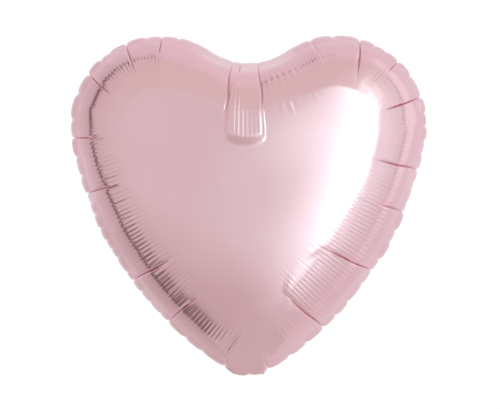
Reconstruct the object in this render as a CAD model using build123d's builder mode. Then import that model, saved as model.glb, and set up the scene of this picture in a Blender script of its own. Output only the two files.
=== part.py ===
from build123d import *

import os
from math import cos, radians, sin

# Heart-shaped foil balloon, cut 450 mm wide and inflated. Millimetres, +Z up, the front faces -Y.
# The origin is the middle of the fold at the tip of the heart, where the filling tail turns up behind
# it and where a ribbon is tied. Film is about 0.04 mm thick; the walls here are thicker stand-ins.

os.makedirs("parts", exist_ok=True)

# Outline of one half, from the valley between the lobes round to the tip: radius and turn of each arc.
valley_radius, valley_turn = 71.5, 34.1
lobe_radius, lobe_turn = 96.6, 134.5
side_radius, side_turn = 366.2, 45.5
tip_turn = 180 + valley_turn - lobe_turn - side_turn
tip_height = 2.5  # bottom edge of the seam above the fold

# Inflated envelope
half_depth = 84.0  # seam plane to crown
film = 0.5
seam_width = 4.5
steep_depth = 118.0  # inset at which the crown would be level
crown_height = 205.0  # middle of the crown above the fold
crown_sharpness, crown_bluntness = 2.2, 0.6  # powers of the envelope's profile
rim_insets = (0.0, 1.5, 4.0, 8.0, 13.0, 19.0, 27.0, 36.0, 46.0)  # inside the seam's inner edge
crown_scales = (0.8, 0.6, 0.4, 0.2)  # of the last inset outline

# Neck: the gap in the seam that the valve passes through
neck_gap_width = 28.0
neck_width = 34.0
neck_height = 9.0
neck_gap_low, neck_gap_high = 0.5, 3.6  # half gap at the tip and at the top of the neck

# Filling tail, folded up behind the tip
tail_width, tail_length = 34.0, 58.0
tail_start = 1.0  # clearance to the fold line
tail_rise = 22.0  # degrees above level, pointing back
tail_weld = 4.0
tail_corner = 7.0
tail_pocket = 0.5  # half of the space between the two tail films
port_radius = 4.0
port_place = 45.0  # from the fold along the tail

# Self-sealing valve
valve_film = 0.2
valve_gap = 0.3  # between the two valve films
valve_width = 26.0
valve_length = 105.0
valve_hinge_height = 3.5
valve_clearance = 0.3  # from the fold line of the valve to its films
tail_valve_end = 36.0  # the channel's mouth, just above the port

side_heading = valley_turn - lobe_turn
tip_heading = side_heading - side_turn


def rise(angle):
    return cos(radians(angle))


def run(angle):
    return sin(radians(angle))


# The four arcs close on the middle line only with this tip radius.
tip_radius = (
    valley_radius * run(valley_turn)
    + lobe_radius * (run(valley_turn) - run(side_heading))
    + side_radius * (run(side_heading) - run(tip_heading))
) / -run(tip_heading)

valley_height = tip_height - (
    valley_radius * (1 - rise(valley_turn))
    + lobe_radius * (rise(side_heading) - rise(valley_turn))
    + side_radius * (rise(tip_heading) - rise(side_heading))
    + tip_radius * (-1 - rise(tip_heading))
)


def front_plane(depth):
    """Plane parallel to the seam, with its origin on the line through the crown."""
    return Plane(origin=(0, -depth, crown_height), x_dir=(1, 0, 0), z_dir=(0, -1, 0))


def heart(plane, inset, size=1.0):
    """Face of the outline moved in by inset, in a plane whose origin is the middle of the crown."""
    with BuildSketch(plane) as outline:
        with BuildLine():
            valley_start = (0, valley_height - inset - crown_height)
            valley = JernArc(valley_start, (1, 0), valley_radius + inset, valley_turn)
            lobe = JernArc(valley @ 1, valley % 1, lobe_radius - inset, -lobe_turn)
            side = JernArc(lobe @ 1, lobe % 1, side_radius - inset, -side_turn)
            JernArc(side @ 1, side % 1, tip_radius - inset, -tip_turn)
            mirror(about=Plane.YZ)
        make_face()
        scale(by=size)
    return outline.sketch


def depth_at(inset):
    """Depth of the envelope's surface at an inset from the seam's inner edge."""
    left = 1 - min(inset / steep_depth, 1)
    return half_depth * (1 - left**crown_sharpness) ** crown_bluntness


def envelope_sections(wall):
    """Outlines of one half of the inflated envelope from the seam to the crown, smaller all round by wall."""
    sections = []
    for inset in rim_insets:
        depth = max(depth_at(inset) - wall, 0)
        sections.append(heart(front_plane(depth), seam_width + inset + wall))
    for size in crown_scales:
        inset = steep_depth - size * (steep_depth - rim_insets[-1])
        sections.append(heart(front_plane(depth_at(inset) - wall), seam_width + rim_insets[-1] + wall, size))
    return sections


def neck_wedge(low, high, start):
    """Profile of the neck beside the seam plane, opening out from the tip into the envelope."""
    top = tip_height + neck_height
    with BuildSketch(Plane.YZ) as profile:
        with BuildLine():
            Polyline((0, start), (-low, start), (-low, tip_height), (-high, top), (0, top), close=True)
        make_face()
    return profile.sketch


# Front panel: the inflated half, its flat seam, and the neck that opens out above the tip
with BuildPart() as front_foil:
    extrude(heart(front_plane(0), 0), amount=film)
    extrude(
        neck_wedge(neck_gap_low + film, neck_gap_high + film, tip_height - film),
        amount=neck_width / 2,
        both=True,
    )
    split(bisect_by=Plane.XY.offset(tip_height), keep=Keep.TOP)
    loft(envelope_sections(0), ruled=True)
    loft(envelope_sections(film), ruled=True, mode=Mode.SUBTRACT)
    extrude(
        neck_wedge(neck_gap_low, neck_gap_high, 0),
        amount=neck_gap_width / 2,
        both=True,
        mode=Mode.SUBTRACT,
    )

# Back panel: the same cut, welded to the front one in the plane of the seam
with BuildPart() as back_foil:
    mirror(front_foil.part, about=Plane.XZ)

# The tail's own plane: x across the balloon, y along the tail away from the fold, z out of the film
# that carries the filling port.
tail_plane = Plane(
    origin=(0, 0, 0),
    x_dir=(-1, 0, 0),
    z_dir=(0, run(tail_rise), -rise(tail_rise)),
)


def strip(plane, width, start, end, corner):
    """Strip from start to end along the tail, with its two far corners rounded."""
    with BuildSketch(plane) as outline:
        with BuildLine():
            Polyline((-width / 2, start), (width / 2, start), (width / 2, end), (-width / 2, end), close=True)
        make_face()
        if corner:
            fillet(vertices().group_by(Axis.Y)[-1], radius=corner)
    return outline.sketch


tail_outline = strip(tail_plane, tail_width, tail_start, tail_length, tail_corner)
pocket_outline = strip(
    tail_plane, tail_width - 2 * tail_weld, tail_start, tail_length - tail_weld, tail_corner - tail_weld
)
tail_valve_width = tail_width - 2 * tail_weld - 2 * valve_clearance

# Tail, the film with the port: a shallow tray whose edges are welded to the other film
with BuildPart() as tail_front_film:
    extrude(tail_outline, amount=tail_pocket + film)
    extrude(pocket_outline, amount=tail_pocket, mode=Mode.SUBTRACT)
    with BuildSketch(tail_plane):
        with Locations((0, port_place)):
            Circle(port_radius)
    extrude(amount=tail_pocket + film, mode=Mode.SUBTRACT)

# Tail, the film without a hole
with BuildPart() as tail_back_film:
    extrude(tail_outline, amount=-tail_pocket - film)
    extrude(pocket_outline, amount=-tail_pocket, mode=Mode.SUBTRACT)

# Valve strips inside the tail, which carry the channel from above the port to the neck
with BuildPart() as tail_valve_front:
    extrude(
        strip(tail_plane.offset(valve_gap / 2), tail_valve_width, tail_start, tail_valve_end, 0),
        amount=valve_film,
    )

with BuildPart() as tail_valve_back:
    extrude(
        strip(tail_plane.offset(-valve_gap / 2), tail_valve_width, tail_start, tail_valve_end, 0),
        amount=-valve_film,
    )

# Valve strips inside the envelope, which stand up from the neck
valve_plane = Plane(origin=(0, 0, valve_hinge_height), x_dir=(1, 0, 0), z_dir=(0, -1, 0))

with BuildPart() as valve_front_film:
    extrude(
        strip(valve_plane.offset(valve_gap / 2), valve_width, valve_clearance, valve_length, tail_weld),
        amount=valve_film,
    )

with BuildPart() as valve_back_film:
    extrude(
        strip(valve_plane.offset(-valve_gap / 2), valve_width, valve_clearance, valve_length, tail_weld),
        amount=-valve_film,
    )

pieces = {
    "front_foil": front_foil,
    "back_foil": back_foil,
    "tail_front_film": tail_front_film,
    "tail_back_film": tail_back_film,
    "tail_valve_front": tail_valve_front,
    "tail_valve_back": tail_valve_back,
    "valve_front_film": valve_front_film,
    "valve_back_film": valve_back_film,
}
for name, piece in pieces.items():
    piece.part.label = name
    export_step(piece.part, f"parts/{name}.step")

print("tip radius", round(tip_radius, 2), "valley height", round(valley_height, 2))
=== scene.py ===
import math

import bpy
import numpy as np
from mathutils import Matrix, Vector
from mathutils.geometry import delaunay_2d_cdt


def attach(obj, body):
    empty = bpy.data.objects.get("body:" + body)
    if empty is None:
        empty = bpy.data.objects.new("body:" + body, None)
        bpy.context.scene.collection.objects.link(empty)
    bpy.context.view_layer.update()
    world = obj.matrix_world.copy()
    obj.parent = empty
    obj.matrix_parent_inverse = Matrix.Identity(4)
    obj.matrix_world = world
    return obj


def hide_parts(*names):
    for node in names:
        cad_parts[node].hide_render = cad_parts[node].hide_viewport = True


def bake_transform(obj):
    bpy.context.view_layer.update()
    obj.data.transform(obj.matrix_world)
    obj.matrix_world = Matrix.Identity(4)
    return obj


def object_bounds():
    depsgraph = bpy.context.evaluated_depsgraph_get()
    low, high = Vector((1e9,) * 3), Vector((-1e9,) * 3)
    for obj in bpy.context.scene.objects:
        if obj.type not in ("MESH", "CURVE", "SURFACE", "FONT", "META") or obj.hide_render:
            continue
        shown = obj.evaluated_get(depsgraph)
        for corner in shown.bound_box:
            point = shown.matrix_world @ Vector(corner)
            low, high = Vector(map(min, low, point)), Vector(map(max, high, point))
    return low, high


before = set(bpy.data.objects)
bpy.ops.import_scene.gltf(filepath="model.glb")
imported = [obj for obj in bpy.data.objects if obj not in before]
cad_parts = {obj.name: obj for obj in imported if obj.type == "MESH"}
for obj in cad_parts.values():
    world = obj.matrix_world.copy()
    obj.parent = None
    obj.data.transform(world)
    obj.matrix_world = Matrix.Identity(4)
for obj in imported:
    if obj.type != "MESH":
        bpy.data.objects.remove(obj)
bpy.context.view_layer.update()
print("frame loaded")

mm = 0.001

# the seam line of the filled balloon, one half from the valley to the tip
heart = {
    "valleyRadius": 71.5 * mm,
    "valleyTurn": 34.1,
    "lobeRadius": 96.6 * mm,
    "lobeTurn": 134.5,
    "sideRadius": 366.2 * mm,
    "sideTurn": 45.5,
    "tipHeight": 2.5 * mm,  # lowest point of the seam above the fold
    "rim": 3.6 * mm,  # from the outline in to the weld's inner edge
    "weld": 2.3 * mm,  # width of the welded band
}


# Start length, start point, heading, radius and side (1 left, -1 right) of each arc of one half, and the
# length of that half
def turnArcs():
    turns = [
        (heart["valleyRadius"], math.radians(heart["valleyTurn"]), 1),
        (heart["lobeRadius"], math.radians(heart["lobeTurn"]), -1),
        (heart["sideRadius"], math.radians(heart["sideTurn"]), -1),
    ]
    arcs = []
    length, x, z, heading = 0.0, 0.0, 0.0, 0.0
    for radius, turn, side in turns:
        arcs.append([length, x, z, heading, radius, side])
        after = heading + side * turn
        x += side * radius * (math.sin(after) - math.sin(heading))
        z += side * radius * (math.cos(heading) - math.cos(after))
        length += radius * turn
        heading = after
    tipRadius = x / -math.sin(heading)  # the only one that closes on the middle line
    arcs.append([length, x, z, heading, tipRadius, -1])
    bottom = z - tipRadius * (math.cos(heading) + 1)
    length += tipRadius * (math.pi + heading)
    for arc in arcs:
        arc[2] += heart["tipHeight"] - bottom
    return np.array(arcs), length


seamArcs, halfSeam = turnArcs()


# Points, inward directions and bends of the outline at stations along it, measured from the valley
def seamAt(station):
    along = np.abs(station)
    index = np.clip(np.searchsorted(seamArcs[:, 0], along, side="right") - 1, 0, len(seamArcs) - 1)
    start, x, z, heading, radius, side = seamArcs[index].T
    now = heading + side * (along - start) / radius
    px = x + side * radius * (np.sin(now) - np.sin(heading))
    pz = z + side * radius * (np.cos(heading) - np.cos(now))
    hand = np.where(station < 0, -1.0, 1.0)
    points = np.stack([px * hand, pz], -1)
    inward = np.stack([np.sin(now) * hand, -np.cos(now)], -1)
    return points, inward, -side / radius


def smooth(value):
    value = np.clip(value, 0, 1)
    return value * value * (3 - 2 * value)


# deep folds of the rim: station from the valley (left is negative), lean, reach and depth, mm
deepFolds = [
    (-569, 0.0, 12, 1.2),
    (-491, -0.09, 52, 2.3),
    (-433, -0.14, 57, 2.6),
    (-327, -0.14, 40, 2.4),
    (-265, -0.33, 30, 2.2),
    (-192, -0.20, 36, 2.4),
    (-139, -0.11, 32, 2.3),
    (-99, -0.07, 23, 2.0),
    (-16.5, 0.06, 70, 1.8),
    (9.8, -0.026, 68, 1.8),
    (71, 0.40, 20, 0.9),
    (126, 0.28, 44, 2.3),
    (174, 0.0, 16, 2.1),
    (220, 0.12, 48, 2.4),
    (300, 0.10, 52, 2.4),
    (348, 0.18, 30, 2.1),
    (420, 0.20, 68, 2.6),
    (500, 0.11, 60, 2.5),
    (575, 0.0, 14, 1.2),
]
smallFolds = [(-8, -0.03, 16, 2.2)]
cleftFolds = (8, 9)  # the two deep folds beside the band in the cleft
patchFolds = (16, 17)  # the two deep folds beside the flat patch at the lower right
# corners between the folds where the film turns without a fold, mm
softCorners = [-530, -465, -380, -296, -230, -165, -60, 40, 98, 149, 197, 260, 324, 384, 460, 538]
# places where the rim stands out a little more: station, half width and how far, mm
fullerPlaces = [(-378, 24, 1.5), (384, 22, 1.2)]
# how one panel's mesh is laid out: rings that follow the seam, and a finer-to-coarser filling inside them
panelMesh = {
    "columns": 1500,
    "crowding": 3.4,  # how much closer the columns stand at a deep fold
    "crowded": 2.0 * mm,  # and how far from it
    "rimRadius": 82 * mm,  # the film leaves the seam on about this radius
    "rowStep": 2.35 * mm,
    "ringDepth": 51 * mm,
    "fillStep": 1.65 * mm,
}


# Flat places of one panel's points inside the weld, with their stations and depths, and its faces
def layOut():
    count = panelMesh["columns"]
    even = np.linspace(-halfSeam, halfSeam, 24001)
    density = np.ones(len(even))
    for fold in deepFolds + smallFolds:
        density += panelMesh["crowding"] * np.exp(-(((even - fold[0] * mm) / panelMesh["crowded"]) ** 2))
    reached = np.append(0, np.cumsum((density[1:] + density[:-1]) / 2))
    stations = np.interp((np.arange(count) + 0.5) / count * reached[-1], reached, even)
    seam, inward, bend = seamAt(stations)
    rim = seam + inward * heart["rim"]
    # the columns lean with the folds
    foldTable = np.array(deepFolds)
    leaning = np.interp(stations, foldTable[:, 0] * mm, foldTable[:, 1], period=2 * halfSeam)
    radius = panelMesh["rimRadius"]
    last = radius * math.acos(1 - panelMesh["ringDepth"] / radius)
    rows = round(last / panelMesh["rowStep"])
    depths = radius * (1 - np.cos(np.linspace(0, last, rows + 1) / radius))
    rowStations = [stations + leaning * depth for depth in depths]
    places = []
    for depth, row in zip(depths, rowStations):
        points, towards, _ = seamAt(row)
        places.append(points + towards * (heart["rim"] + depth))
    faces = []
    for row in range(rows):
        here, below = row * count, (row + 1) * count
        for k in range(count):
            after = (k + 1) % count
            faces.append((here + k, below + k, below + after, here + after))
    loop = places[-1]
    step = panelMesh["fillStep"]
    low, high = loop.min(0), loop.max(0)
    columns = np.arange(0, (high[0] - low[0]) / 2 + step, step)
    columns = np.concatenate([-columns[:0:-1], columns])
    filling = []
    for row, z in enumerate(np.arange(low[1], high[1], step * math.sqrt(0.75))):
        shift = step / 2 if row % 2 else 0
        filling.append(np.stack([columns + shift, np.full(len(columns), z)], -1))
    filling = np.concatenate(filling)
    # keep the points inside the last ring and not too near it
    kept = []
    following = np.roll(loop, -1, 0)
    for part in np.array_split(filling, 40):
        x, z = part[:, None, 0], part[:, None, 1]
        crosses = (loop[:, 1] > z) != (following[:, 1] > z)
        rise = np.where(following[:, 1] == loop[:, 1], 1, following[:, 1] - loop[:, 1])
        meets = loop[:, 0] + (z - loop[:, 1]) * (following[:, 0] - loop[:, 0]) / rise
        inside = (crosses & (x < meets)).sum(1) % 2 == 1
        gap = np.sqrt(((part[:, None] - loop) ** 2).sum(2)).min(1)
        kept.append(part[inside & (gap > 0.6 * step)])
    filling = np.concatenate(kept)
    loopEdges = [(k, (k + 1) % count) for k in range(count)]
    corners = [Vector(p) for p in loop] + [Vector(p) for p in filling]
    _, _, cells, origins, _, _ = delaunay_2d_cdt(corners, loopEdges, [], 1, 1e-8)
    first = rows * count
    number = [first + origin[0] if origin else None for origin in origins]
    for cell in cells:
        corner = tuple(number[k] for k in cell)
        if None not in corner:
            faces.append(corner)
    places.append(filling)
    # the filling's stations and depths come from the nearest point of the rim
    nearest = np.concatenate(
        [((part[:, None] - rim) ** 2).sum(2).argmin(1) for part in np.array_split(filling, 40)]
    )
    offset = filling - rim[nearest]
    along = np.stack([-inward[nearest, 1], inward[nearest, 0]], -1)
    fillDepth = (offset * inward[nearest]).sum(1)
    slide = (offset * along).sum(1) / np.clip(1 - bend[nearest] * fillDepth, 0.2, 3)
    allStations = np.concatenate(rowStations + [stations[nearest] + slide])
    allDepths = np.concatenate([np.repeat(depths, count), fillDepth])
    return np.concatenate(places), allStations, allDepths, faces, rim


# 0 on the rim and 1 at the crown: the shape of an evenly loaded skin held along the rim
def crownField(places, rim):
    count = 300
    stations = (np.arange(count) + 0.5) / count * 2 * halfSeam - halfSeam
    seam, inward, bend = seamAt(stations)
    sources = seam - inward * 22 * mm

    def fields(points):
        away = np.sqrt(((points[:, None] - sources) ** 2).sum(2))
        return np.concatenate([np.log(away), np.ones((len(points), 1))], 1)

    weights = np.linalg.lstsq(fields(rim), (rim**2).sum(1) / 4, rcond=1e-9)[0]
    load = [fields(part) @ weights - (part**2).sum(1) / 4 for part in np.array_split(places, 20)]
    load = np.concatenate(load)
    print("rim error", np.abs(load[: len(rim)]).max() / load.max())
    return load / load.max()


places, stations, depths, panelFaces, rim = layOut()
field = crownField(places, rim)
print("panel laid out:", len(places), "points,", len(panelFaces), "faces")

# the pleats of the panel after each fold, in the same order: strength and reach on the front and the back
pleats = [
    (0.7, 48, 0.5, 44),
    (1.0, 54, 0.7, 50),
    (1.2, 52, 0.9, 58),
    (1.6, 52, 0.6, 40),
    (0.35, 34, 0.7, 44),
    (1.6, 46, 0.4, 36),
    (0.8, 42, 0.6, 40),
    (0.3, 40, 0.3, 44),
    (0.0, 60, 0.0, 60),
    (1.1, 62, 0.5, 50),
    (0.7, 50, 0.3, 40),
    (0.9, 38, 0.7, 44),
    (1.0, 40, 0.3, 36),
    (0.6, 50, 0.8, 56),
    (1.0, 62, 0.6, 50),
    (1.0, 72, 0.5, 50),
    (1.1, 74, 0.9, 62),
    (0.35, 46, 0.7, 52),
    (0.3, 30, 0.4, 34),
]
film = {
    "halfDepth": 84 * mm,  # seam to crown
    "bluntness": 1.5,  # how soon the film comes up to its full depth
    "foldDepth": 1.45,  # times the depths in the list of folds
    "foldWidth": 0.55 * mm,
    "shoulderWidth": 5 * mm,
    "shoulder": 0.16,  # of the fold's depth
    "notch": 0.45,  # of the fold's depth, at the seam
    "scallop": (12, 27),  # least and greatest width of the small puffs along the rim, mm
    "puff": 1.7 * mm,  # how far they stand out between their notches
    "overhang": 2.1 * mm,  # how far the film bulges past the weld's inner edge
    "tipBump": 2.3 * mm,  # how much further it bulges at the tip
    "pleatStep": 5.0 * mm,
    "pleatDepth": 0.23 * mm,
    "facet": 1.0,  # how straight the film runs from fold to fold
    "cleft": 3.7 * mm,  # how much fuller the film is beside the cleft
    "strap": 4.2 * mm,  # how far the band between the two folds of the cleft stands out
    "strapRib": 0.33 * mm,
    "strapRibs": 9,
    "strapReach": 88 * mm,
    "patch": 0.75,  # how flat the film is between the two longest folds
    "patchReach": 70 * mm,
    "uneven": 0.25 * mm,
    "ruffle": 0.9 * mm,  # of the weld, to and fro
    "weldCurl": 0.35 * mm,
    "weldFilm": 0.08 * mm,
    "neck": 33 * mm,  # width of the opening that the tail's films come out of
    "neckGap": 2.0 * mm,  # half of its depth
}
foldStations = np.array([fold[0] for fold in deepFolds]) * mm
cornerStations = np.sort(np.append(foldStations, np.array(softCorners) * mm))
roundSeam = 2 * halfSeam


# Stations of all the notches of the rim, the deep folds among them, with the reach and size of each puff
def spreadNotches():
    random = np.random.default_rng(5)
    ends = np.append(foldStations, foldStations[0] + roundSeam)
    stations = []
    for start, end in zip(ends[:-1], ends[1:]):
        count = max(1, round((end - start) / (random.uniform(*film["scallop"]) * mm)))
        cuts = np.linspace(start, end, count + 1)[:-1]
        cuts[1:] += random.uniform(-0.22, 0.22, count - 1) * (end - start) / count
        stations.append(cuts)
    stations = np.concatenate(stations)
    return stations, random.uniform(12, 28, len(stations)) * mm, random.uniform(0.6, 1.4, len(stations))


def between(value, low, high):
    return smooth((value - low) / (high - low))


# Signed distance along the seam, the short way round
def apart(station, other):
    return (station - other + halfSeam) % roundSeam - halfSeam


# A smooth random curve round the seam with count bumps
def wander(seed, count, station):
    values = np.random.default_rng(seed).uniform(-1, 1, count)
    at = (station / roundSeam % 1) * count
    low = np.floor(at).astype(int)
    share = smooth(at - low)
    return values[low % count] * (1 - share) + values[(low + 1) % count] * share


# From a point of the outline to the straight line between the corners on both sides of it
def facetShift(station):
    index = np.searchsorted(cornerStations, station, side="right") - 1
    start = seamAt(cornerStations[index])[0]
    end = seamAt(cornerStations[(index + 1) % len(cornerStations)])[0]
    here = seamAt(station)[0]
    chord = end - start
    chord /= np.linalg.norm(chord, axis=1)[:, None]
    across = here - start
    across -= (across * chord).sum(1)[:, None] * chord
    return -across


notches, notchReach, notchSize = spreadNotches()
valleyZ = seamAt(np.zeros(1))[0][0, 1]


# 0 at the first of two leaning folds and 1 at the second
def shareBetween(folds, station, depth):
    first, second = [foldStations[k] + deepFolds[k][1] * depth for k in folds]
    return np.clip((station - first) / (second - first), 0, 1)


# How far the film stands out (or in, below zero) from the plain filled shape
def filmRelief(station, depth, bend, seed, column):
    squeeze = np.clip(1 - bend * depth, 0.15, 3)
    relief = np.zeros(len(station))
    nearFold = np.zeros(len(station))
    for fold, lean, reach, deep in deepFolds + smallFolds:
        reach *= mm
        line = fold * mm + lean * depth
        line += 0.5 * mm * np.sin(depth / (7 * mm) + fold) * between(depth, 0, 8 * mm)
        off = apart(station, line) * squeeze
        along = film["notch"] + (1 - film["notch"]) * smooth(depth / (8 * mm))
        along = along * (1 - between(depth, 0.4 * reach, reach))
        sharp = np.exp(-np.sqrt(off**2 + (0.12 * mm) ** 2) / film["foldWidth"])
        broad = np.exp(-((off / film["shoulderWidth"]) ** 2))
        relief -= film["foldDepth"] * deep * mm * along * (sharp + film["shoulder"] * broad)
        beside = np.exp(-((off / (7 * mm)) ** 2)) * (1 - between(depth, reach, reach + 8 * mm))
        nearFold = np.maximum(nearFold, beside)
    # small puffs that scallop the edge and hide the weld, all alike near the valley
    arc = np.sqrt(2 * panelMesh["rimRadius"] * np.maximum(depth, 0))
    index = np.searchsorted(notches, (station - notches[0]) % roundSeam + notches[0], side="right") - 1
    start, end = notches[index], notches[(index + 1) % len(notches)]
    wide = (end - start) % roundSeam
    share = ((station - start) % roundSeam) / wide
    puff = (1 - np.abs(2 * share - 1) ** 4) * np.minimum(wide / (16 * mm), 1.3) * notchSize[index]
    puff += (0.8 - puff) * (1 - between(np.abs(station), 55 * mm, 80 * mm))
    fade = 1 - smooth((arc - 3 * mm) / notchReach[index])
    out = smooth(arc / (4.5 * mm))
    fromTip = halfSeam - np.abs(station)
    overhang = film["overhang"] + film["tipBump"] * np.exp(-((fromTip / (20 * mm)) ** 4))
    relief += overhang * out * (1 - smooth((arc - 6 * mm) / (24 * mm)))
    relief += film["puff"] * puff * out * fade
    for place, width, amount in fullerPlaces:
        near = np.exp(-((apart(station, place * mm) / (width * mm)) ** 2))
        relief += amount * mm * near * out * (1 - smooth((arc - 10 * mm) / (30 * mm)))
    # pleats: fine ridges that run in from the rim, square to the seam
    index = np.searchsorted(foldStations, station, side="right") - 1
    table = np.array(pleats)
    strength = table[index, column]
    reach = table[index, column + 1] * mm
    steps = round(roundSeam / film["pleatStep"])
    phase = 2 * math.pi * steps * station / roundSeam + 0.9 * wander(seed, 90, station)
    uneven = 1 + 0.45 * wander(seed + 1, steps, station)
    reach = reach * (1 + 0.16 * wander(seed + 2, steps, station))
    start = 6 * mm + 5 * mm * (1 + wander(seed + 3, steps // 3, station))
    ridge = 0.75 * np.cos(phase) + 0.25 * np.cos(2 * phase)
    shown = between(depth, start, start + 10 * mm) * (1 - between(depth, 0.6 * reach, reach))
    relief += film["pleatDepth"] * np.maximum(strength, 1.1 * nearFold) * uneven * ridge * shown
    # the band between the two folds of the cleft: it rises inwards and ends in a short round step
    share = shareBetween(cleftFolds, station, depth)
    end = film["strapReach"] * (1 - 0.05 * (2 * share - 1) ** 2)
    lift = between(depth, 6 * mm, 0.95 * end) * (1 - smooth((depth - 0.88 * end) / (0.13 * end)))
    relief += film["strap"] * lift * (1 - np.abs(2 * share - 1) ** np.where(share > 0.5, 18, 8))
    ribs = np.cos(2 * math.pi * film["strapRibs"] * share) * np.clip(np.minimum(share, 1 - share) * 8, 0, 1)
    ribs *= 0.75 + 0.45 * np.sin(2 * math.pi * (1.1 * share - 0.12))  # stronger on the left
    shown = between(depth, 24 * mm, 44 * mm) * (1 - smooth((depth - 0.8 * end) / (0.2 * end)))
    relief += film["strapRib"] * ribs * shown
    # the film beside it is fuller too
    drop = valleyZ - places[:, 1]
    beside = np.exp(-((places[:, 0] / (62 * mm)) ** 2)) * (1 - smooth((drop - 55 * mm) / (75 * mm)))
    relief += film["cleft"] * between(depth, 4 * mm, 62 * mm) * beside
    # a slight unevenness everywhere
    calm = between(depth, 5 * mm, 22 * mm) * (1 - between(depth, 30 * mm, 60 * mm))
    relief += film["uneven"] * wander(seed + 4, 37, station) * calm
    return relief


# Area-weighted normals of a mesh of quads and triangles
def pointNormals(points, faces):
    normals = np.zeros_like(points)
    for size in (3, 4):
        cells = np.array([face for face in faces if len(face) == size])
        corners = points[cells]
        if size == 4:
            cross = np.cross(corners[:, 2] - corners[:, 0], corners[:, 3] - corners[:, 1])
        else:
            cross = np.cross(corners[:, 1] - corners[:, 0], corners[:, 2] - corners[:, 0])
        for corner in range(size):
            np.add.at(normals, cells[:, corner], cross)
    return normals / np.maximum(np.linalg.norm(normals, axis=1), 1e-20)[:, None]


def newMesh(name, points, faces, flatPlaces=None):
    mesh = bpy.data.meshes.new(name)
    mesh.from_pydata(points.tolist(), [], faces)
    if flatPlaces is not None:
        corners = np.zeros(len(mesh.loops), int)
        mesh.loops.foreach_get("vertex_index", corners)
        spread = flatPlaces[corners]
        # faces across the tip, where the station starts again
        first = np.zeros(len(mesh.polygons), int)
        mesh.polygons.foreach_get("loop_start", first)
        owner = np.repeat(first, np.diff(np.append(first, len(corners))))
        jump = np.round((spread[owner, 0] - spread[:, 0]) / roundSeam)
        spread[:, 0] += jump * roundSeam
        layer = mesh.uv_layers.new(name="seam")
        layer.data.foreach_set("uv", (spread * 10).ravel())
    mesh.polygons.foreach_set("use_smooth", np.ones(len(mesh.polygons), bool))
    mesh.update()
    piece = bpy.data.objects.new(name, mesh)
    bpy.context.scene.collection.objects.link(piece)
    return piece


# One filled panel with its half of the weld; side is -1 for the front and 1 for the back
def foilPanel(name, side, seed, column):
    count = panelMesh["columns"]
    _, inward, bend = seamAt(stations)
    nearby = [facetShift(stations + slide * mm) for slide in (-4, -2, 0, 2, 4)]
    shift = sum(nearby) / len(nearby) * film["facet"]
    shift = shift * (between(depths, 1 * mm, 12 * mm) * (1 - between(depths, 16 * mm, 58 * mm)))[:, None]
    plan = places + shift
    height = film["halfDepth"] * np.sqrt(np.clip(1 - np.clip(1 - field, 0, 1) ** film["bluntness"], 0, 1))
    height[:count] = 0
    # between the two longest folds on the right the film is straight along the seam, up to a round inner end
    if side < 0:
        first, second = [foldStations[k] + deepFolds[k][1] * depths for k in patchFolds]
        share = shareBetween(patchFolds, stations, depths)
        middle = np.abs(stations - (first + second) / 2) < 2 * mm
        order = np.argsort(depths[middle])
        level = np.interp(depths, depths[middle][order], height[middle][order])
        inner = film["patchReach"] * (1 - 0.14 * (2 * share - 1) ** 2)
        flat = (1 - smooth((depths - inner + 9 * mm) / (9 * mm))) * (1 - np.abs(2 * share - 1) ** 8)
        height += (level - height) * flat * film["patch"]
    base = np.stack([plan[:, 0], side * height, plan[:, 1]], -1)
    faces = panelFaces if side < 0 else [tuple(reversed(face)) for face in panelFaces]
    normals = pointNormals(base, faces)
    if normals[height.argmax(), 1] * side < 0:
        normals = -normals
        faces = [tuple(reversed(face)) for face in faces]
    rimOut = np.stack([-inward[:count, 0], np.zeros(count), -inward[:count, 1]], -1)
    normals[:count] = rimOut
    relief = filmRelief(stations, depths, bend, seed, column)
    points = base + normals * relief[:, None]
    # the weld wanders a little to and fro, but not at the neck, where the tail's films come out of it
    fromTip = halfSeam - np.abs(stations)
    atNeck = 1 - smooth((fromTip - film["neck"] / 2) / (6 * mm))
    wobble = film["ruffle"] * (0.6 * wander(11, 46, stations) + 0.4 * wander(12, 120, stations))
    points[:, 1] += wobble * (1 - atNeck) * np.exp(-depths / (2.5 * mm))
    points[:, 1] += side * film["neckGap"] * atNeck * np.exp(-depths / (1.5 * mm))
    # the weld: three more rows outside the rim
    weldShares = (0.35, 0.7, 1.0)
    rows = []
    for share in weldShares:
        row = points[:count] + rimOut * heart["weld"] * share
        curl = film["weldCurl"] * (1 + 0.8 * wander(13, 80, stations[:count])) * share**2
        row[:, 1] = points[:count, 1] + curl * (1 - atNeck[:count])
        row[:, 1] += side * film["weldFilm"] * (share < 1)
        rows.append(row)
    first = len(points)
    outer = []
    for row in range(3):
        inside = 0 if row == 0 else first + (row - 1) * count
        here = first + row * count
        for k in range(count):
            after = (k + 1) % count
            cell = (inside + k, inside + after, here + after, here + k)
            outer.append(cell if side > 0 else tuple(reversed(cell)))
    flatPlaces = np.stack([stations, depths], -1)
    weldPlaces = [flatPlaces[:count] - [0, heart["weld"] * share] for share in weldShares]
    flatPlaces = np.concatenate([flatPlaces] + weldPlaces)
    return newMesh(name, np.concatenate([points] + rows), faces + outer, flatPlaces)


frontPanel = foilPanel("front_foil_panel", -1, 21, 0)
backPanel = foilPanel("back_foil_panel", 1, 61, 2)
print("panels made")


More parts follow.
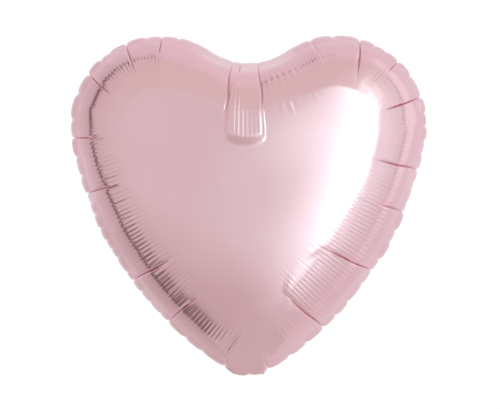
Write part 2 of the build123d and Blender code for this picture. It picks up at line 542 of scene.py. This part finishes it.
# the filling tail: two films that come out of the neck, fold at the tip and stand out behind
tail = {
    "width": 34 * mm,
    "inNeck": 4.2 * mm,  # part between the panels
    "length": 57.4 * mm,
    "corner": 7 * mm,
    "weld": 4 * mm,
    "rise": 22,  # degrees above level
    "bend": 1.2 * mm,  # radius of the fold
    "pocket": 0.75 * mm,  # how far each film stands off the middle
    "nip": 0.34 * mm,  # the same near the fold
    "weldGap": 0.06 * mm,  # the same in the welds
    "neckGap": 0.8 * mm,  # the same in the neck
    "wrinkle": 0.14 * mm,
    "port": 4 * mm,  # radius of the filling hole
    "portPlace": 45 * mm,
    "valveWidth": 25.4 * mm,
    "valveStart": 1.6 * mm,
    "valveEnd": 36 * mm,
    "valveGap": 0.14 * mm,
    "flutter": 0.8 * mm,
    "step": 1.3 * mm,
}
valve = {
    "width": 26 * mm,
    "start": 3.8 * mm,
    "end": 108.5 * mm,
    "corner": 4 * mm,
    "gap": 0.25 * mm,
    "bulge": 0.5 * mm,
    "wave": 1.1 * mm,
    "step": 1.8 * mm,
}


# Flat film from start to end with two rounded far corners, and a hole on its middle line
def filmFlat(width, start, end, corner, step, holeAt=None, holeRadius=0.0):
    half = width / 2
    outline = []
    turn = np.radians(np.linspace(0, 90, 9))
    sides = [(half, start), (half, end - corner)]
    sides += [(half - corner + corner * math.cos(a), end - corner + corner * math.sin(a)) for a in turn[1:]]
    sides += [(-x, u) for x, u in reversed(sides)]
    for here, after in zip(sides, sides[1:] + sides[:1]):
        count = max(1, round(math.dist(here, after) / step))
        for k in range(count):
            share = k / count
            outline.append((here[0] + (after[0] - here[0]) * share, here[1] + (after[1] - here[1]) * share))
    loops = [outline]
    if holeAt is not None:
        angles = np.radians(np.arange(0, 360, 11.25))
        loops.append([(holeRadius * math.cos(a), holeAt + holeRadius * math.sin(a)) for a in angles])
    corners, edges = [], []
    for loop in loops:
        first = len(corners)
        corners += loop
        edges += [(first + k, first + (k + 1) % len(loop)) for k in range(len(loop))]
    margin = 0.6 * step
    for row, u in enumerate(np.arange(start + step * 0.8, end - margin, step * 0.87)):
        for x in np.arange(-half, half, step) + (step / 2 if row % 2 else 0):
            rounded = max(abs(x) - (half - corner), 0)
            beyond = max(u - (end - corner), 0)
            if abs(x) >= half - margin or (beyond > 0 and math.hypot(rounded, beyond) >= corner - margin):
                continue
            if holeAt is not None and math.hypot(x, u - holeAt) < holeRadius + margin:
                continue
            corners.append((x, u))
    flat, _, cells, _, _, _ = delaunay_2d_cdt([Vector(p) for p in corners], edges, [], 1, 1e-8)
    flat = np.array([tuple(p) for p in flat])
    faces = []
    for cell in cells:
        middle = flat[list(cell)].mean(0)
        if holeAt is None or math.hypot(middle[0], middle[1] - holeAt) > holeRadius * 0.98:
            faces.append(tuple(cell))
    return flat, faces


# Crumpled film: short random folds with rounded ridges
def crumple(seed, x, u, size):
    random = np.random.default_rng(seed)
    height = np.zeros(len(x))
    for octave in range(7):
        angle = random.uniform(0, math.pi)
        wave = size * random.uniform(0.45, 1.5)
        phase = 2 * math.pi * (x * math.cos(angle) + u * math.sin(angle)) / wave + random.uniform(0, 6.28)
        warp = 1.3 * np.sin(2 * math.pi * (x * math.sin(angle) - u * math.cos(angle)) / (2.3 * wave) + octave)
        height += (1 - 2 * np.abs(np.sin(phase + warp))) / 7
    return height


# Place points of the tail, off its middle surface, around the fold
def tailPlace(x, u, off):
    turn = math.radians(90 + tail["rise"])
    radius = tail["bend"]
    reach = radius * math.tan(turn / 2)
    halfArc = radius * turn / 2
    angle = np.clip((u + halfArc) / radius, 0, turn)
    y = radius - radius * np.cos(angle)
    z = reach - radius * np.sin(angle)
    before = np.maximum(-halfArc - u, 0)
    after = np.maximum(u - halfArc, 0)
    y += after * math.sin(turn)
    z += before - after * math.cos(turn)
    y -= off * np.cos(angle)
    z -= off * np.sin(angle)
    return np.stack([x, y, z], -1)


# How far the whole tail stands off its middle surface
def tailFlutter(x, u):
    return tail["flutter"] * crumple(33, x, u, 26 * mm) * smooth((u - 6 * mm) / (20 * mm))


# One film of the tail; side is 1 for the film with the hole and -1 for the other
def tailFilm(name, side, hole):
    flat, faces = filmFlat(
        tail["width"], -tail["inNeck"], tail["length"], tail["corner"], tail["step"], hole, tail["port"]
    )
    x, u = flat.T
    inside = np.minimum(tail["width"] / 2 - tail["weld"] - np.abs(x), tail["length"] - tail["weld"] - u)
    full = np.sqrt(smooth(inside / (5 * mm)))
    opened = (tail["pocket"] - tail["nip"]) * smooth((u - 3 * mm) / (8 * mm))
    gap = tail["weldGap"] + full * (tail["nip"] + opened)
    wrinkle = crumple(31 if side > 0 else 32, x, u, 9 * mm)
    gap = gap + tail["wrinkle"] * full * smooth((u - 4 * mm) / (6 * mm)) * wrinkle
    gap = gap + (tail["neckGap"] - gap) * smooth(-u / (2 * mm))
    places = tailPlace(x, u, side * gap + tailFlutter(x, u))
    if side > 0:
        faces = [tuple(reversed(face)) for face in faces]
    return newMesh(name, places, faces)


# One of the two strips inside the tail
def tailValveFilm(name, side):
    flat, faces = filmFlat(tail["valveWidth"], tail["valveStart"], tail["valveEnd"], 0.5 * mm, tail["step"])
    x, u = flat.T
    return newMesh(name, tailPlace(x, u, side * tail["valveGap"] + tailFlutter(x, u)), faces)


# One of the two strips inside the envelope; side is -1 for the front and 1 for the back
def valveFilm(name, side):
    flat, faces = filmFlat(valve["width"], valve["start"], valve["end"], valve["corner"], valve["step"])
    x, z = flat.T
    away = smooth((z - 8 * mm) / (40 * mm))
    y = side * (valve["gap"] + valve["bulge"] * away * (1 - (2 * x / valve["width"]) ** 2))
    y = y + valve["wave"] * away * crumple(41, x, z, 45 * mm)
    return newMesh(name, np.stack([x, y, z], -1), faces)


tailFront = tailFilm("tail_port_film", 1, tail["portPlace"])
tailBack = tailFilm("tail_upper_film", -1, None)
tailValveFront = tailValveFilm("tail_channel_front", 1)
tailValveBack = tailValveFilm("tail_channel_back", -1)
valveFront = valveFilm("valve_channel_front", -1)
valveBack = valveFilm("valve_channel_back", 1)
print("tail and valve made")


# a socket that Python arithmetic works on
class Wire:
    def __init__(self, maker, socket):
        self.maker = maker
        self.socket = socket

    def math(self, operation, first, second):
        node = self.maker.node("ShaderNodeMath", {"operation": operation}, {0: first, 1: second})
        return self.maker.wire(node, "Value")

    def __add__(self, other):
        return self.math("ADD", self, other)

    def __radd__(self, other):
        return self.math("ADD", other, self)

    def __sub__(self, other):
        return self.math("SUBTRACT", self, other)

    def __rsub__(self, other):
        return self.math("SUBTRACT", other, self)

    def __mul__(self, other):
        return self.math("MULTIPLY", self, other)

    def __rmul__(self, other):
        return self.math("MULTIPLY", other, self)


class Shader:
    def __init__(self, tree):
        self.tree = tree
        tree.nodes.clear()

    def node(self, kind, settings=None, sockets=None):
        node = self.tree.nodes.new(kind)
        for key, value in (settings or {}).items():
            if key == "stops":
                ramp = node.color_ramp.elements
                while len(ramp) < len(value):
                    ramp.new(0.5)
                for stop, (place, color) in zip(ramp, value):
                    stop.position = place
                    stop.color = color
            else:
                setattr(node, key, value)
        for key, value in (sockets or {}).items():
            if isinstance(value, Wire):
                self.tree.links.new(value.socket, node.inputs[key])
            else:
                node.inputs[key].default_value = value
        return node

    def wire(self, node, name):
        return Wire(self, node.outputs[name])

    def noise(self, place, scale, detail):
        node = self.node("ShaderNodeTexNoise", None, {"Vector": place, "Scale": scale, "Detail": detail})
        return self.wire(node, "Fac")

    # a grey ramp through (value, brightness) pairs, for values from low to high
    def profile(self, value, low, high, pairs):
        stops = [((at - low) / (high - low), (tone, tone, tone, 1)) for at, tone in pairs]
        ramp = self.node("ShaderNodeValToRGB", {"stops": stops}, {"Fac": (value - low) * (1 / (high - low))})
        return self.wire(self.node("ShaderNodeRGBToBW", None, {"Color": self.wire(ramp, "Color")}), "Val")


# Pink metallised film with a clear outer layer
def foilMaterial():
    look = {
        "color": (0.72, 0.425, 0.487, 1),
        "paler": (0.745, 0.462, 0.52, 1),
        "cloudScale": 14.0,
        "speckScale": 420.0,
        "drawnScale": (30.0, 30.0, 900.0),
        "roughness": 0.095,
        "coat": 0.4,
        "coatRoughness": 0.16,
        "grain": 0.008 * mm,
        "finePleat": 2.15,  # mm
        "fineDepth": 0.045 * mm,
    }
    material = bpy.data.materials.new("pink_foil")
    material.use_nodes = True
    maker = Shader(material.node_tree)
    place = maker.wire(maker.node("ShaderNodeTexCoord"), "Object")
    cloud = maker.noise(place, look["cloudScale"], 2.0)
    speck = maker.noise(place, look["speckScale"], 3.0)
    drawn = maker.node("ShaderNodeMapping", None, {"Vector": place, "Scale": look["drawnScale"]})
    drawn = maker.noise(maker.wire(drawn, "Vector"), 1.0, 2.0)
    color = maker.node(
        "ShaderNodeMix", {"data_type": "RGBA"}, {"Factor": cloud, "A": look["color"], "B": look["paler"]}
    )
    roughness = look["roughness"] - 0.03 + cloud * 0.03 + speck * 0.04
    # station and depth, in decimetres
    seamPlace = maker.wire(maker.node("ShaderNodeUVMap", {"uv_map": "seam"}), "UV")
    seamPlace = maker.node("ShaderNodeSeparateXYZ", None, {"Vector": seamPlace})
    along, inside = maker.wire(seamPlace, "X"), maker.wire(seamPlace, "Y")
    # fine pleats beside the rim, about half as wide as the modelled ones
    stretch = maker.node("ShaderNodeCombineXYZ", None, {"X": along, "Y": inside * 0.25, "Z": 0.0})
    uneven = maker.noise(maker.wire(stretch, "Vector"), 9.0, 3.0)
    wave = along * (200 * math.pi / look["finePleat"]) + uneven * 7.0
    wave = wave.math("COSINE", wave, 0.0)
    shown = maker.node("ShaderNodeValToRGB", {"stops": [
        (0.11, (0, 0, 0, 1)), (0.19, (1, 1, 1, 1)), (0.27, (0.7, 0.7, 0.7, 1)), (0.44, (0, 0, 0, 1)),
    ]}, {"Fac": inside})
    shown = maker.wire(maker.node("ShaderNodeRGBToBW", None, {"Color": maker.wire(shown, "Color")}), "Val")
    beforeTip = maker.node("ShaderNodeMapRange", None, {
        "Value": along.math("ABSOLUTE", along, 0.0),
        "From Min": 4.9,
        "From Max": 5.4,
        "To Min": 1.0,
        "To Max": 0.0,
    })
    fine = wave * shown * maker.wire(beforeTip, "Result") * (0.3 + uneven)
    grain = look["grain"] / look["fineDepth"]
    height = fine + (drawn * 0.5 + speck * 0.5) * grain
    bump = {"Height": height, "Distance": look["fineDepth"], "Strength": 1.0}
    bump = maker.node("ShaderNodeBump", None, bump)
    shader = maker.node(
        "ShaderNodeBsdfPrincipled",
        None,
        {
            "Base Color": maker.wire(color, "Result"),
            "Metallic": 1.0,
            "Roughness": roughness,
            "Coat Weight": look["coat"],
            "Coat Roughness": look["coatRoughness"],
            "Normal": maker.wire(bump, "Normal"),
        },
    )
    maker.node("ShaderNodeOutputMaterial", None, {"Surface": maker.wire(shader, "BSDF")})
    return material


# Thin clear film with a milky tone and printed bars that keep the channel from sealing
def valveMaterial():
    look = {
        "color": (0.82, 0.84, 0.86, 1),
        "print": (0.42, 0.47, 0.46, 1),
        "bar": 3.2 * mm,
        "alpha": 0.55,
        "roughness": 0.28,
    }
    material = bpy.data.materials.new("clear_film")
    material.use_nodes = True
    maker = Shader(material.node_tree)
    place = maker.wire(maker.node("ShaderNodeTexCoord"), "Object")
    split = maker.node("ShaderNodeSeparateXYZ", None, {"Vector": place})
    cloud = maker.noise(place, 90.0, 3.0)
    bars = (maker.wire(split, "X") + cloud * 0.4 * mm) * (2 * math.pi / look["bar"])
    bars = bars.math("COSINE", bars, 0.0)
    bars = bars.math("GREATER_THAN", bars, 0.55)
    color = maker.node(
        "ShaderNodeMix", {"data_type": "RGBA"}, {"Factor": bars * 0.8, "A": look["color"], "B": look["print"]}
    )
    bump = maker.node("ShaderNodeBump", None, {"Height": cloud, "Distance": 0.05 * mm, "Strength": 0.6})
    shader = maker.node("ShaderNodeBsdfPrincipled", None, {
        "Base Color": maker.wire(color, "Result"),
        "Roughness": look["roughness"] + cloud * 0.1,
        "Alpha": look["alpha"] + bars * 0.3,
        "Normal": maker.wire(bump, "Normal"),
    })
    maker.node("ShaderNodeOutputMaterial", None, {"Surface": maker.wire(shader, "BSDF")})
    return material


foil = foilMaterial()
clearFilm = valveMaterial()
for piece in (frontPanel, backPanel, tailFront, tailBack):
    piece.data.materials.append(foil)
for piece in (tailValveFront, tailValveBack, valveFront, valveBack):
    piece.data.materials.append(clearFilm)

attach(frontPanel, "envelope")
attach(backPanel, "envelope")
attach(tailValveFront, "tail")
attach(tailValveBack, "tail")
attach(valveFront, "valve_flap")
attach(valveBack, "valve")
for piece in (tailFront, tailBack):
    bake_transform(piece)

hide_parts("front_foil")
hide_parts("back_foil")
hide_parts("tail_front_film")
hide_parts("tail_back_film")
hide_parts("tail_valve_front")
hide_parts("tail_valve_back")
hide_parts("valve_front_film")
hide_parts("valve_back_film")

# studio: pale floor, white surround with a few darker parts, one large soft light on the right
studio = {
    "viewDistance": 2.2,
    "viewWidth": 0.538,
    "viewCentre": (0.0015, 0.1832),
    "floorDrop": 1.2,  # below the balloon
    "floorRadius": 0.75,
    "floorColor": (0.8, 0.765, 0.745, 1),
    "softLight": 2.1,
    "softColor": (0.62, 1, 0.97, 1),
    "underColor": (0.74, 0.72, 0.68, 1),
    "ceilingColor": (0.93, 0.93, 0.82, 1),
    "edgeColor": (0.24, 0.195, 0.175, 1),
    "backdropColor": (1.02, 1.02, 1.02, 1),
}

bpy.ops.object.select_all(action="DESELECT")
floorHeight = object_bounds()[0].z - studio["floorDrop"]
bpy.ops.mesh.primitive_circle_add(
    vertices=96, radius=studio["floorRadius"], fill_type="NGON", location=(0, 0, floorHeight)
)
floor = bpy.context.object
floor.name = "floor"
paint = bpy.data.materials.new("pale_floor")
paint.use_nodes = True
paint.node_tree.nodes["Principled BSDF"].inputs["Base Color"].default_value = studio["floorColor"]
floor.data.materials.append(paint)

cameraData = bpy.data.cameras.new("camera")
camera = bpy.data.objects.new("camera", cameraData)
bpy.context.scene.collection.objects.link(camera)
cameraData.lens = cameraData.sensor_width * studio["viewDistance"] / studio["viewWidth"]
camera.location = (studio["viewCentre"][0], -studio["viewDistance"], studio["viewCentre"][1])
camera.rotation_euler = (math.radians(90), 0, 0)
bpy.context.scene.camera = camera

world = bpy.data.worlds.new("surround")
bpy.context.scene.world = world
world.use_nodes = True
maker = Shader(world.node_tree)
ray = maker.wire(maker.node("ShaderNodeTexCoord"), "Generated")
ray = maker.node("ShaderNodeSeparateXYZ", None, {"Vector": ray})
rayX, rayY, rayZ = maker.wire(ray, "X"), maker.wire(ray, "Y"), maker.wire(ray, "Z")
towards = rayY * -1.0
aside = towards.math("ARCCOSINE", towards, 0.0) * (180 / math.pi)  # 0 in front of the balloon, 180 behind it
azimuth = rayX.math("ARCTAN2", rayX, towards) * (180 / math.pi)


# A tone for each angle aside, and a tone for each part of a direction
def byAngle(pairs):
    return maker.profile(aside, 0, 180, pairs)


def byPart(part, pairs):
    return maker.profile(part, -1, 1, pairs)


# a thin dim edge beyond the sides, darker on the left, with a broader one low on the left
dimEdge = byAngle([
    (45, 0), (66, 0.06), (89, 0.17), (92.5, 0.4), (93.5, 1), (97, 1), (99, 0.32), (112, 0.2), (130, 0.12),
    (160, 0),
])
leftSide = byPart(rayX, [(-0.64, 1.0), (-0.5, 0.68), (-0.3, 0.48), (-0.05, 0)])
thinLines = byAngle([
    (70, 0), (71, 0.5), (73, 0.1), (79, 0.15), (81, 0.6), (82.5, 0.1), (89, 0.2), (91, 1), (93, 1), (95, 0),
])
rightSide = byPart(rayX, [(0.5, 0), (0.75, 1.0)]) * byPart(rayZ, [(-0.45, 0), (-0.2, 1)])
lowLeft = leftSide * byPart(rayZ, [(-0.63, 1), (-0.5, 0)])
dimBroad = byAngle([
    (28, 0), (45, 0.07), (60, 0.14), (68, 0.25), (74, 0.8), (92, 0.92), (97, 0.55), (104, 0.26), (118, 0.15),
    (140, 0),
])
# white all round, a little green in front and dimmer underneath
under = byPart(rayZ, [(-0.55, 1), (-0.15, 0)]) * byPart(rayX, [(0.1, 1), (0.5, 0.35)])
tones = [
    (0, (0.91, 1.01, 0.96, 1)),
    (60, (0.92, 1.0, 0.955, 1)),
    (88, (0.95, 0.97, 0.95, 1)),
    (90.5, (1.0, 1.0, 0.99, 1)),
    (140, (1.0, 1.0, 1.0, 1)),
    (180, (0.8, 0.78, 0.8, 1)),
]
level = maker.node(
    "ShaderNodeValToRGB", {"stops": [(at / 180, tone) for at, tone in tones]}, {"Fac": aside * (1 / 180)}
)
level = maker.node("ShaderNodeMix", {"data_type": "RGBA"}, {
    "Factor": under * 0.7,
    "A": maker.wire(level, "Color"),
    "B": studio["underColor"],
})
# a warm ceiling with a darker edge
ceiling = byAngle([(52, 0), (52.7, 1), (54, 1), (55, 0.5), (80, 0.55), (88.5, 0.8), (90, 0)])
overhead = byPart(rayZ, [(0.32, 0), (0.55, 1)])
level = maker.node("ShaderNodeMix", {"data_type": "RGBA"}, {
    "Factor": ceiling * overhead,
    "A": maker.wire(level, "Result"),
    "B": studio["ceilingColor"],
})
shade = maker.node("ShaderNodeMix", {"data_type": "RGBA"}, {
    "Factor": dimEdge.math("MAXIMUM", dimEdge * leftSide, dimBroad * lowLeft) + thinLines * rightSide * 0.5,
    "A": maker.wire(level, "Result"),
    "B": studio["edgeColor"],
})
# a tall soft light in front on the right, whose left edge fades slowly: it leans to the right above, is
# narrower below, and the ceiling covers part of its top
below = rayZ.math("MINIMUM", rayZ, 0.0)
narrow = maker.profile(azimuth - below * 32.0, -180, 180, [(48, 1), (53, 0.38), (75, 1)])
covered = byAngle([(52, 0), (53, 0.9), (89, 0.9), (90, 0)]) * overhead
covered = covered * byPart(rayX, [(0.42, 1), (0.68, 0.25)])
above = rayZ.math("MAXIMUM", rayZ, 0.0)
across = maker.profile(azimuth - above * 14.0, -180, 180, [
    (-9, 0), (-4, 0.02), (0, 0.05), (5, 0.12), (15, 0.37), (25, 0.72), (31, 1), (48, 1), (53, 0.38),
    (66, 0.2), (84, 0.12), (90, 0.09), (94, 0.13), (109, 0.12), (112, 0.02), (125, 0),
])
along = byPart(rayZ, [(-0.78, 0), (-0.6, 0.2), (-0.48, 0.4), (-0.3, 0.75), (-0.1, 1), (0.72, 1), (0.95, 0)])
brightness = across * narrow * along * (1 - covered) * studio["softLight"]


def glow(color, strength):
    node = maker.node("ShaderNodeBackground", None, {"Color": color, "Strength": strength})
    return maker.wire(node, "Background")


surround = glow(maker.wire(shade, "Result"), 1.0)
both = maker.node("ShaderNodeAddShader", None, {0: surround, 1: glow(studio["softColor"], brightness)})
# seen directly, the surround is plain white
direct = maker.wire(maker.node("ShaderNodeLightPath"), "Is Camera Ray")
either = maker.node("ShaderNodeMixShader", None, {
    0: direct, 1: maker.wire(both, "Shader"), 2: glow(studio["backdropColor"], 1.0),
})
maker.node("ShaderNodeOutputWorld", None, {"Surface": maker.wire(either, "Shader")})
bpy.context.scene.view_settings.view_transform = "Standard"
print("studio made")
